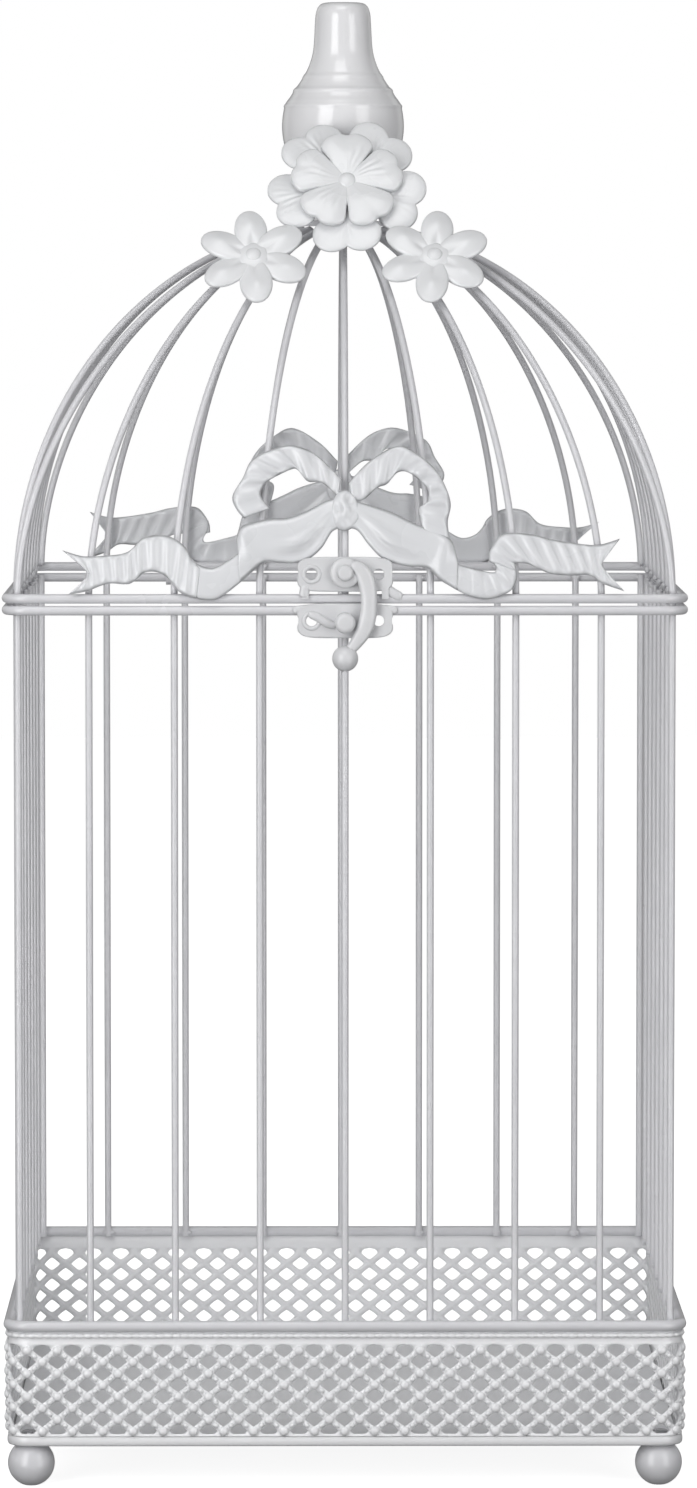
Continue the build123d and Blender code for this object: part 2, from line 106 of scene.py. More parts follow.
def addSurround():
    # plain white to look at, and a soft grey dome that is brighter above for the light
    world = bpy.data.worlds.new("studio")
    world.use_nodes = True
    tree = world.node_tree
    tree.nodes.clear()
    place = tree.nodes.new("ShaderNodeTexCoord")
    split = tree.nodes.new("ShaderNodeSeparateXYZ")
    tree.links.new(place.outputs["Generated"], split.inputs[0])
    rise = tree.nodes.new("ShaderNodeMapRange")
    rise.inputs["From Min"].default_value = -1
    tree.links.new(split.outputs["Z"], rise.inputs["Value"])
    ramp = tree.nodes.new("ShaderNodeValToRGB")
    tree.links.new(rise.outputs["Result"], ramp.inputs["Fac"])
    stops = ramp.color_ramp.elements
    stops[0].color = (surround["below"],) * 3 + (1,)
    stops[1].color = (surround["above"],) * 3 + (1,)
    stops.new(0.5).color = (surround["level"],) * 3 + (1,)
    seen = tree.nodes.new("ShaderNodeBackground")
    seen.inputs["Strength"].default_value = surround["seen"]
    seen.inputs["Color"].default_value = (1, 1, 1, 1)
    lit = tree.nodes.new("ShaderNodeBackground")
    tree.links.new(ramp.outputs["Color"], lit.inputs["Color"])
    path = tree.nodes.new("ShaderNodeLightPath")
    mix = tree.nodes.new("ShaderNodeMixShader")
    tree.links.new(path.outputs["Is Camera Ray"], mix.inputs["Fac"])
    tree.links.new(lit.outputs[0], mix.inputs[1])
    tree.links.new(seen.outputs[0], mix.inputs[2])
    out = tree.nodes.new("ShaderNodeOutputWorld")
    tree.links.new(mix.outputs[0], out.inputs["Surface"])
    bpy.context.scene.world = world
    bpy.context.scene.view_settings.view_transform = "Standard"


def addFloor():
    half = 3.0
    corners = [(-half, -half, 0), (half, -half, 0), (half, half, 0), (-half, half, 0)]
    data = bpy.data.meshes.new("paleFloor")
    data.from_pydata(corners, [], [(0, 1, 2, 3)])
    floor = bpy.data.objects.new("paleFloor", data)
    bpy.context.scene.collection.objects.link(floor)
    paper = bpy.data.materials.new("palePaper")
    paper.use_nodes = True
    shader = paper.node_tree.nodes["Principled BSDF"]
    shader.inputs["Base Color"].default_value = (0.9, 0.9, 0.9, 1)
    shader.inputs["Roughness"].default_value = 0.9
    shader.inputs["Emission Color"].default_value = (1, 1, 1, 1)
    shader.inputs["Emission Strength"].default_value = 0.8
    data.materials.append(paper)
    floor.visible_diffuse = False
    floor.visible_glossy = False


addLights()
addSurround()
addFloor()
print("studio set")


# ---- finishes ----
def newGroup(name, inputs, outputs):
    # an empty node group with named sockets, and its two end nodes
    group = bpy.data.node_groups.new(name, "ShaderNodeTree")
    for label, kind, value in inputs:
        socket = group.interface.new_socket(label, in_out="INPUT", socket_type=kind)
        if value is not None:
            socket.default_value = value
    for label, kind in outputs:
        group.interface.new_socket(label, in_out="OUTPUT", socket_type=kind)
    return group, group.nodes.new("NodeGroupInput"), group.nodes.new("NodeGroupOutput")


def noiseInto(group, start, scaleSocket, detail, roughness=0.5):
    noise = group.nodes.new("ShaderNodeTexNoise")
    noise.inputs["Detail"].default_value = detail
    noise.inputs["Roughness"].default_value = roughness
    group.links.new(start.outputs["Place"], noise.inputs["Vector"])
    group.links.new(start.outputs[scaleSocket], noise.inputs["Scale"])
    return noise.outputs["Fac"]


def calc(tree, kind, first, second):
    # one maths node, fed by sockets or by plain numbers
    node = tree.nodes.new("ShaderNodeMath")
    node.operation = kind
    for socket, value in zip(node.inputs, (first, second)):
        if isinstance(value, (int, float)):
            socket.default_value = value
        else:
            tree.links.new(value, socket)
    return node.outputs[0]


def remap(tree, value, low, high, outLow=0.0, outHigh=1.0):
    node = tree.nodes.new("ShaderNodeMapRange")
    node.inputs["From Min"].default_value = low
    node.inputs["From Max"].default_value = high
    node.inputs["To Min"].default_value = outLow
    node.inputs["To Max"].default_value = outHigh
    tree.links.new(value, node.inputs["Value"])
    return node.outputs["Result"]


def mixColours(tree, share, first, second):
    node = tree.nodes.new("ShaderNodeMix")
    node.data_type = "RGBA"
    tree.links.new(share, node.inputs["Factor"])
    for socket, value in ((node.inputs[6], first), (node.inputs[7], second)):
        if isinstance(value, tuple):
            socket.default_value = value
        else:
            tree.links.new(value, socket)
    return node.outputs[2]


def makeCoatSkin():
    # paint tone with faint clouds and specks, a roughness that follows them, and orange peel height
    group, start, end = newGroup(
        "coatSkin",
        [
            ("Place", "NodeSocketVector", None),
            ("Tone", "NodeSocketColor", (0.8, 0.8, 0.8, 1)),
            ("Thin Tone", "NodeSocketColor", (0.7, 0.7, 0.72, 1)),
            ("Cloud Scale", "NodeSocketFloat", 22.0),
            ("Speck Scale", "NodeSocketFloat", 260.0),
            ("Peel Scale", "NodeSocketFloat", 900.0),
            ("Roughness", "NodeSocketFloat", 0.4),
        ],
        [("Color", "NodeSocketColor"), ("Roughness", "NodeSocketFloat"), ("Height", "NodeSocketFloat")],
    )
    clouds = noiseInto(group, start, "Cloud Scale", 4.0, 0.6)
    specks = noiseInto(group, start, "Speck Scale", 2.0)
    peel = noiseInto(group, start, "Peel Scale", 2.0)
    share = calc(group, "MULTIPLY", remap(group, clouds, 0.38, 0.72), 0.55)
    speckShare = remap(group, specks, 0.70, 0.78, 0.0, 0.5)
    total = calc(group, "MAXIMUM", share, speckShare)
    colour = mixColours(group, total, start.outputs["Tone"], start.outputs["Thin Tone"])
    group.links.new(colour, end.inputs["Color"])
    rough = calc(group, "ADD", start.outputs["Roughness"], remap(group, clouds, 0.3, 0.7, -0.05, 0.06))
    group.links.new(rough, end.inputs["Roughness"])
    height = calc(group, "ADD", calc(group, "MULTIPLY", peel, 0.35), clouds)
    group.links.new(height, end.inputs["Height"])
    return group


def makeCreaseShade():
    # painted shade: greyer where the surface is hollow, as shade falls in creases, and a painted highlight a touch
    # lighter where it is raised
    group, start, end = newGroup(
        "creaseShade",
        [
            ("Color", "NodeSocketColor", (0.8, 0.8, 0.8, 1)),
            ("Painted Shade Color", "NodeSocketColor", (0.5, 0.5, 0.52, 1)),
            ("Amount", "NodeSocketFloat", 0.6),
        ],
        [("Color", "NodeSocketColor")],
    )
    shape = group.nodes.new("ShaderNodeNewGeometry")
    paintedShadeShare = remap(group, shape.outputs["Pointiness"], 0.5, 0.42)
    share = calc(group, "MULTIPLY", paintedShadeShare, start.outputs["Amount"])
    colour = mixColours(group, share, start.outputs["Color"], start.outputs["Painted Shade Color"])
    group.links.new(colour, end.inputs["Color"])
    return group


coatSkin = makeCoatSkin()
creaseShade = makeCreaseShade()

# every finish of the cage: tone, the tone where the paint is thin, roughness, clear top and peel, and for some the
# amount of painted crease shade; all are one white coat, and the tones differ from part to part as painted light
finishes = {
    "wireCoat": {"tone": (0.74, 0.74, 0.765), "thin": (0.64, 0.64, 0.665),
                 "rough": 0.30, "top": 0.4, "peel": 0.02},
    # painted light: the gallery's tone is raised over the wire tone so the band reads lighter, in place of a lamp
    # low at the front
    "galleryCoatPaintedLight": {"tone": (0.91, 0.915, 0.93), "thin": (0.85, 0.85, 0.87), "rough": 0.32, "top": 0.4,
                    "peel": 0.03, "crease": 0.3},
    "ribbonCoat": {"tone": (0.76, 0.77, 0.79), "thin": (0.70, 0.705, 0.73), "rough": 0.27, "top": 0.5,
                   "peel": 0.04, "crease": 0.6},
    # painted light: the petals' tone is raised over the wire tone so the flowers read brighter
    "petalCoatPaintedLight": {"tone": (0.84, 0.85, 0.865), "thin": (0.78, 0.785, 0.80), "rough": 0.30, "top": 0.45,
                  "peel": 0.05, "crease": 0.6},
    "latchCoat": {"tone": (0.74, 0.745, 0.76), "thin": (0.64, 0.64, 0.66), "rough": 0.34, "top": 0.3,
                  "peel": 0.10, "crease": 0.6},
    # painted light: the finial's tone is raised over the wire tone so it reads brighter
    "finialGlossPaintedLight": {"tone": (0.88, 0.88, 0.895), "thin": (0.83, 0.83, 0.85),
                    "rough": 0.20, "top": 0.7, "peel": 0.03},
    # painted light: the pan's tone is raised so it reads light through the holes, in place of a lamp low at the
    # front
    "panCoatPaintedLight": {"tone": (0.90, 0.905, 0.92), "thin": (0.83, 0.83, 0.85),
                "rough": 0.48, "top": 0.1, "peel": 0.06},
}


def makeFinish(name):
    say = finishes[name]
    material = bpy.data.materials.new(name)
    material.use_nodes = True
    tree = material.node_tree
    shader = tree.nodes["Principled BSDF"]
    place = tree.nodes.new("ShaderNodeTexCoord")
    skin = tree.nodes.new("ShaderNodeGroup")
    skin.node_tree = coatSkin
    skin.inputs["Tone"].default_value = say["tone"] + (1,)
    skin.inputs["Thin Tone"].default_value = say["thin"] + (1,)
    skin.inputs["Roughness"].default_value = say["rough"]
    tree.links.new(place.outputs["Object"], skin.inputs["Place"])
    colour = skin.outputs["Color"]
    # painted shade: the crease amount greys this finish's hollows, where shade falls
    if "crease" in say:
        crease = tree.nodes.new("ShaderNodeGroup")
        crease.node_tree = creaseShade
        crease.inputs["Amount"].default_value = say["crease"]
        tree.links.new(colour, crease.inputs["Color"])
        colour = crease.outputs["Color"]
    tree.links.new(colour, shader.inputs["Base Color"])
    tree.links.new(skin.outputs["Roughness"], shader.inputs["Roughness"])
    bump = tree.nodes.new("ShaderNodeBump")
    bump.inputs["Strength"].default_value = say["peel"]
    bump.inputs["Distance"].default_value = 0.001
    tree.links.new(skin.outputs["Height"], bump.inputs["Height"])
    tree.links.new(bump.outputs["Normal"], shader.inputs["Normal"])
    shader.inputs["Coat Weight"].default_value = say["top"]
    shader.inputs["Coat Roughness"].default_value = 0.12
    return material


coats = {name: makeFinish(name) for name in finishes}


def makeScrewMetal():
    # bright plated steel, duller in fine patches
    material = bpy.data.materials.new("screwPlate")
    material.use_nodes = True
    tree = material.node_tree
    shader = tree.nodes["Principled BSDF"]
    place = tree.nodes.new("ShaderNodeTexCoord")
    noise = tree.nodes.new("ShaderNodeTexNoise")
    noise.inputs["Scale"].default_value = 420
    noise.inputs["Detail"].default_value = 3
    tree.links.new(place.outputs["Object"], noise.inputs["Vector"])
    tree.links.new(remap(tree, noise.outputs["Fac"], 0.3, 0.7, 0.22, 0.42), shader.inputs["Roughness"])
    shade = mixColours(tree, noise.outputs["Fac"], (0.62, 0.62, 0.64, 1), (0.48, 0.48, 0.49, 1))
    tree.links.new(shade, shader.inputs["Base Color"])
    bump = tree.nodes.new("ShaderNodeBump")
    bump.inputs["Strength"].default_value = 0.05
    bump.inputs["Distance"].default_value = 0.0005
    tree.links.new(noise.outputs["Fac"], bump.inputs["Height"])
    tree.links.new(bump.outputs["Normal"], shader.inputs["Normal"])
    shader.inputs["Metallic"].default_value = 1
    return material


screwPlate = makeScrewMetal()


def dress(material, *names):
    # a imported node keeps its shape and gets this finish
    for name in names:
        mesh = nodes[name].data
        mesh.materials.clear()
        mesh.materials.append(material)


dress(coats["wireCoat"], *nodes)     # all of them first, then the others over it
bandNodes = ["gallery_front", "gallery_right", "gallery_rear", "gallery_left", "gallery_corners"]
dress(coats["galleryCoatPaintedLight"], *bandNodes)
dress(coats["latchCoat"], "latch_plate", "latch_rivet", "catch_plate", "catch_stud", "latch_hook")
dress(coats["finialGlossPaintedLight"], "finial")
dress(coats["ribbonCoat"], "bow_front", "bow_rear")
dress(coats["petalCoatPaintedLight"], "big_flower_back", "big_flower_front", "big_flower_bead", "small_flower_left",
      "small_flower_left_bead", "small_flower_right", "small_flower_right_bead")
dress(coats["panCoatPaintedLight"], "floor_pan")
dress(screwPlate, "foot_screws", "finial_screw")
print("finishes ready")


# ---- shape helpers ----
def gridFaces(rows, columns, roundRows=False, roundColumns=False):
    # corner numbers of every square on a grid, wrapped round where asked
    down, along = np.meshgrid(
        np.arange(rows if roundRows else rows - 1),
        np.arange(columns if roundColumns else columns - 1),
        indexing="ij",
    )
    nextDown = (down + 1) % rows
    nextAlong = (along + 1) % columns
    corners = (down * columns + along, nextDown * columns + along,
               nextDown * columns + nextAlong, down * columns + nextAlong)
    return np.stack(corners, axis=-1).reshape(-1, 4)


def weldShell(points, faces):
    # points that fall together become one, squares that lose a corner become triangles,
    # and a closed shell whose volume comes out negative is turned the right way out
    places, which = np.unique(np.round(points, 5), axis=0, return_inverse=True)
    faces = which.reshape(-1)[faces]
    doubled = faces == np.roll(faces, -1, axis=1)
    squares = faces[doubled.sum(axis=1) == 0]
    once = doubled.sum(axis=1) == 1
    triangles = faces[once][~doubled[once]].reshape(-1, 3)
    halves = np.concatenate([squares[:, [0, 1, 2]], squares[:, [0, 2, 3]], triangles])
    a, b, c = places[halves[:, 0]], places[halves[:, 1]], places[halves[:, 2]]
    if np.einsum("ij,ij->i", a, np.cross(b, c)).sum() < 0:
        squares, triangles = squares[:, ::-1], triangles[:, ::-1]
    return places, squares, triangles


def addPiece(name, shells, finish, body, replaced=()):
    # joins closed shells, each (points, faces) in millimetres, into one smooth piece that rides on a body
    places, squares, triangles = [], [], []
    first = 0
    for points, faces in shells:
        spots, four, three = weldShell(points.reshape(-1, 3), faces)
        places.append(spots)
        squares.append(four + first)
        triangles.append(three + first)
        first += len(spots)
    mesh = bpy.data.meshes.new(name)
    corners = np.concatenate(squares).tolist() + np.concatenate(triangles).tolist()
    mesh.from_pydata((np.concatenate(places) * mm).tolist(), [], corners)
    mesh.polygons.foreach_set("use_smooth", np.ones(len(mesh.polygons), bool))
    mesh.materials.append(finish)
    mesh.update()
    piece = bpy.data.objects.new(name, mesh)
    bpy.context.scene.collection.objects.link(piece)
    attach(piece, body)
    if replaced:
        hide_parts(*replaced)
    print(name, len(mesh.polygons), "faces")
    return piece


def smoothLine(points, count):
    # a curve through the points, count samples an even distance apart (cubic through four neighbours)
    spots = np.array(points, float)
    spots = np.concatenate([2 * spots[:1] - spots[1:2], spots, 2 * spots[-1:] - spots[-2:-1]])
    t = np.linspace(0, 1, 24, endpoint=False)[:, None, None]
    a, b, c, d = spots[None, :-3], spots[None, 1:-2], spots[None, 2:-1], spots[None, 3:]
    fine = 0.5 * (2 * b + (c - a) * t + (2 * a - 5 * b + 4 * c - d) * t**2 + (3 * b - a - 3 * c + d) * t**3)
    fine = np.concatenate([fine.transpose(1, 0, 2).reshape(-1, spots.shape[1]), spots[None, -2]])
    reach = np.concatenate([[0], np.cumsum(np.linalg.norm(np.diff(fine, axis=0), axis=1))])
    even = np.linspace(0, reach[-1], count)
    return np.stack([np.interp(even, reach, fine[:, k]) for k in range(spots.shape[1])], axis=-1)


def unit(vectors):
    return vectors / np.linalg.norm(vectors, axis=-1, keepdims=True)


def pillow(reachAt, crown, back, turns=48, rings=18, flat=0.7, relief=None):
    # a closed cushion over an outline given as a reach at each angle: the reach is cut down by a sine
    # from middle to rim and back, and the height follows the cosine, flattened towards the middle
    angle = np.linspace(0, 2 * np.pi, turns, endpoint=False)[None, :]
    step = np.linspace(0, np.pi, rings)[:, None]
    share = np.sin(step)
    share[-1] = 0
    rise = np.cos(step)
    rise = np.sign(rise) * np.abs(rise) ** flat
    reach = reachAt(angle)
    x = share * reach * np.cos(angle)
    y = share * reach * np.sin(angle)
    z = np.where(rise > 0, crown, back) * rise + 0 * angle
    if relief is not None:
        z = z + relief(x, y) * np.clip(rise, 0, 1)
    return np.stack([x, y, z], axis=-1), gridFaces(rings, turns, roundColumns=True)


def circlesReach(circles):
    # how far a ray from the middle runs through a union of circles (x, y, radius) that all hold the middle
    def reachAt(angle):
        far = 0 * angle
        for x, y, radius in circles:
            along = x * np.cos(angle) + y * np.sin(angle)
            aside = y * np.cos(angle) - x * np.sin(angle)
            far = np.maximum(far, along + np.sqrt(np.maximum(radius**2 - aside**2, 0)))
        return far

    return reachAt


def placeOn(points, origin, across, upward, outward):
    # local x, y, height into the cage's own frame
    return origin + points[..., 0:1] * across + points[..., 1:2] * upward + points[..., 2:3] * outward


def carried(path, side, front, halfWidth, halfDepth, turns=20, power=1.0):
    # an oval carried along a path; its two half sizes change on the way and close it at the ends
    angle = np.linspace(0, 2 * np.pi, turns, endpoint=False)[None, :, None]
    c, s = np.cos(angle), np.sin(angle)
    c = np.sign(c) * np.abs(c) ** power
    s = np.sign(s) * np.abs(s) ** power
    points = path[:, None, :] + c * halfWidth[:, None, None] * side[:, None, :]
    points = points + s * halfDepth[:, None, None] * front[:, None, :]
    return points, gridFaces(len(path), turns, roundColumns=True)


# ---- pierced gallery of the tray ----
gallery = {
    "columns": 88,          # crossing beads round the tray
    "rows": 8,
    "firstRow": 17.1,       # height of the lowest row of holes
    "rowStep": 3.45,
    "holeHalf": 2.65,       # half the width of a hole
    "holeRise": 2.12,       # half its height
    "holePower": 1.16,      # 1 is a plain diamond, 2 an oval
    "crossBead": (1.5, 1.0),    # radius and rise of the bead where two strands cross
    "pearl": (1.0, 0.75),   # half sizes of the pearl halfway along a strand
    "pearlRise": 0.55,
    "beadSink": 0.3,        # how far beads and pearls reach into the strand
    "archRise": 1.7,
    "hemCut": 0.9,          # the lowest holes stop this far under their middle
    "plainRise": 2.1,       # plain metal starts this far over the top row
    "strandBulge": 0.5,
    "sheet": 1.2,
    "beadPitch": 2.4,
    "beadHeight": 45.6,
}


def aroundTray(travel, out, half, bend):
    # a point travel mm round the tray's rounded square, out mm outside its middle line
    straight = 2 * (half - bend)
    corner = bend * np.pi / 2
    side = straight + corner
    travel = np.mod(travel, 4 * side)
    turn = np.floor(travel / side)
    rest = travel - turn * side
    onBend = np.clip(rest - straight, 0, None)
    lean = onBend / bend
    x = np.minimum(rest, straight) - straight / 2 + (bend + out) * np.sin(lean)
    y = (half - bend) + (bend + out) * np.cos(lean)
    quarter = -turn * np.pi / 2
    return x * np.cos(quarter) - y * np.sin(quarter), x * np.sin(quarter) + y * np.cos(quarter)


def buildGallery():
    low, high = nodeBox("gallery_front")
    half = -low[1] - gallery["sheet"] / 2
    bend = half - high[0]
    length = 8 * (half - bend) + 2 * np.pi * bend
    pitch = length / gallery["columns"]
    step = gallery["rowStep"]
    bottom, top = low[2], high[2]

    def strandHeight(share):
        # a strand is rounded from its middle line out to the edge of the hole
        return gallery["strandBulge"] * np.sqrt(np.clip(1 - share**2.4, 0, 1))

    def ring(row):
        # the twelve points of a cell's edge and of its hole, in order round the cell
        quarter = np.array([0, 1, 2]) / 3
        right, topPoint, left, bottomPoint = (pitch / 2, 0), (0, step), (-pitch / 2, 0), (0, -step)

        def run(a, b, share=quarter):
            return np.array(a) + (np.array(b) - np.array(a)) * share[:, None]

        upper = np.concatenate([run(right, topPoint), run(topPoint, left)])
        lower = np.concatenate([run(left, bottomPoint), run(bottomPoint, right)])
        fifth = np.array([0, 1, 2, 3, 4]) / 4
        if row == gallery["rows"] - 1:
            rise = gallery["plainRise"]
            upper = np.concatenate([[right], run((pitch / 2, rise), (-pitch / 2, rise), fifth)])
        if row == 0:
            fall = -gallery["hemCut"] - 0.7
            lower = np.concatenate([[left], run((-pitch / 2, fall), (pitch / 2, fall), fifth)])
        edge = np.concatenate([upper, lower])
        angle = np.arctan2(edge[:, 1] / step, edge[:, 0] / (pitch / 2))
        c, s = np.cos(angle), np.sin(angle)
        power = gallery["holePower"]
        size = (np.abs(c) ** power + np.abs(s) ** power) ** (-1 / power)
        hole = np.stack([gallery["holeHalf"] * size * c, gallery["holeRise"] * size * s], axis=-1)
        if row == gallery["rows"] - 1:
            arch = hole[:, 1] > -0.01
            hole[arch] = np.stack([gallery["holeHalf"] * c, gallery["archRise"] * s], axis=-1)[arch]
        if row == 0:
            hole[:, 1] = np.maximum(hole[:, 1], -gallery["hemCut"])
        return edge, hole

    flats, depths, faces = [], [], []
    first = 0
    shares = np.array([0, 0.45, 0.8, 1.0])
    for row in range(gallery["rows"]):
        edge, hole = ring(row)
        middles = (np.arange(gallery["columns"]) + 0.5 * (row % 2)) * pitch
        height = gallery["firstRow"] + row * step
        front = edge[None] + (hole - edge)[None] * shares[:, None, None]
        loops = np.concatenate([front, hole[None], edge[None]])
        x = middles[:, None, None] + loops[None, :, :, 0]
        z = height + loops[None, :, :, 1] + 0 * x
        share = np.concatenate([shares, [1, 0]])[None, :, None]
        out = strandHeight(share + 0 * x)
        out[:, len(shares):] = -gallery["sheet"] / 2
        flats.append(np.stack([x, z], axis=-1).reshape(-1, 2))
        depths.append(out.reshape(-1))
        cell = gridFaces(len(shares) + 2, 12, roundColumns=True)
        cells = cell[None] + (np.arange(gallery["columns"]) * 12 * (len(shares) + 2))[:, None, None]
        faces.append(cells.reshape(-1, 4) + first)
        first += len(flats[-1])

    # plain strip over the holes and the rounded hem under them, both four columns to a cell
    along = np.arange(4 * gallery["columns"]) * pitch / 4
    topRow = gallery["firstRow"] + (gallery["rows"] - 1) * step
    shoulder = topRow + gallery["plainRise"]
    hemTop = gallery["firstRow"] - gallery["hemCut"] - 0.7
    bodyOut = -gallery["sheet"] / 2
    plainLevels = np.array([shoulder, shoulder + 0.5, shoulder + 1.4, top, top, shoulder])
    plainOut = np.array([0.0, 0.15, 0.05, 0.05, bodyOut, bodyOut])
    hemLevels = np.array([hemTop, hemTop - 0.25, hemTop - 0.9, (hemTop + bottom) / 2,
                          bottom + 0.7, bottom + 0.15, bottom, bottom, hemTop])
    hemOut = np.array([0.0, 0.35, 0.55, 0.6, 0.55, 0.3, 0.0, bodyOut, bodyOut])
    for levels, outs in ((plainLevels, plainOut), (hemLevels, hemOut)):
        x = np.broadcast_to(along, (len(levels), len(along)))
        z = np.broadcast_to(levels[:, None], x.shape)
        out = np.broadcast_to(outs[:, None], x.shape).copy()
        seamed = np.isclose(z, shoulder) | np.isclose(z, hemTop)
        edgeOut = strandHeight(0 * x)
        out = np.where(seamed & (outs[:, None] == 0.0), edgeOut, out)
        flats.append(np.stack([x, z], axis=-1).reshape(-1, 2))
        depths.append(out.reshape(-1))
        faces.append(gridFaces(len(levels), len(along), roundColumns=True) + first)
        first += x.size
    flat = np.concatenate(flats)
    travel = np.round(np.mod(flat[:, 0], length), 4)
    travel = np.where(np.isclose(travel, length, atol=1e-3), 0, travel)
    x, y = aroundTray(travel, np.minimum(np.concatenate(depths), gallery["sheet"] / 2 + 0.85), half, bend)
    points = np.stack([x, y, flat[:, 1]], axis=-1)
    addPiece("pierced_gallery", [(points, np.concatenate(faces))], coats["galleryCoatPaintedLight"], "cage",
             bandNodes)

    # beads where strands cross and pearls halfway between, each a small low dome set on the strands
    surface = gallery["strandBulge"]
    rows = np.arange(gallery["rows"])[:, None]
    across = (np.arange(gallery["columns"])[None, :] + 0.5 * (rows % 2) + 0.5) * pitch
    level = gallery["firstRow"] + rows * step + 0 * across
    radius, rise = gallery["crossBead"]
    bead = pillow(circlesReach([(0, 0, radius)]), rise, gallery["beadSink"], 8, 6, 0.8)
    long, short = gallery["pearl"]
    slope = math.atan2(step, pitch / 2)

    def oval(lean):
        def reachAt(angle):
            return 1 / np.sqrt((np.cos(angle - lean) / long) ** 2 + (np.sin(angle - lean) / short) ** 2)

        return reachAt

    def stamped(shell, xs, zs):
        # the same small shape set on the band at many places
        points, faces = shell
        spots = points.reshape(-1, 3)
        x, y = aroundTray(xs.reshape(-1, 1) + spots[None, :, 0], surface + spots[None, :, 2], half, bend)
        z = zs.reshape(-1, 1) + spots[None, :, 1]
        every = faces[None] + (np.arange(xs.size) * len(spots))[:, None, None]
        return np.stack([x, y, z], axis=-1), every.reshape(-1, 4)

    pearls = []
    for lean in (1, -1):
        pearl = pillow(oval(lean * slope), gallery["pearlRise"], gallery["beadSink"], 6, 5, 0.8)
        pearls.append(stamped(pearl, across[:-1] + lean * pitch / 4, level[:-1] + step / 2))
    for name, shells in (("crossing_beads", [stamped(bead, across, level)]), ("strand_pearls", pearls)):
        addPiece(name, shells, coats["galleryCoatPaintedLight"], "cage")

    # the fine beading under the rim: a thin tube that swells and narrows along its way
    beads = int(round(length / gallery["beadPitch"]))
    travel = np.linspace(0, length, beads * 5, endpoint=False)[:, None]
    swell = np.abs(np.sin(np.pi * travel / length * beads)) ** 0.7
    angle = np.linspace(0, 2 * np.pi, 7, endpoint=False)[None, :]
    reach = 0.45 + 0.4 * swell
    x, y = aroundTray(travel + 0 * angle, 0.35 + reach * np.cos(angle), half, bend)
    z = gallery["beadHeight"] + (0.45 + 0.35 * swell) * np.sin(angle)
    addPiece("rim_beading", [(np.stack([x, y, z], axis=-1), gridFaces(len(travel), 7, True, True))],
             coats["galleryCoatPaintedLight"], "cage")


buildGallery()


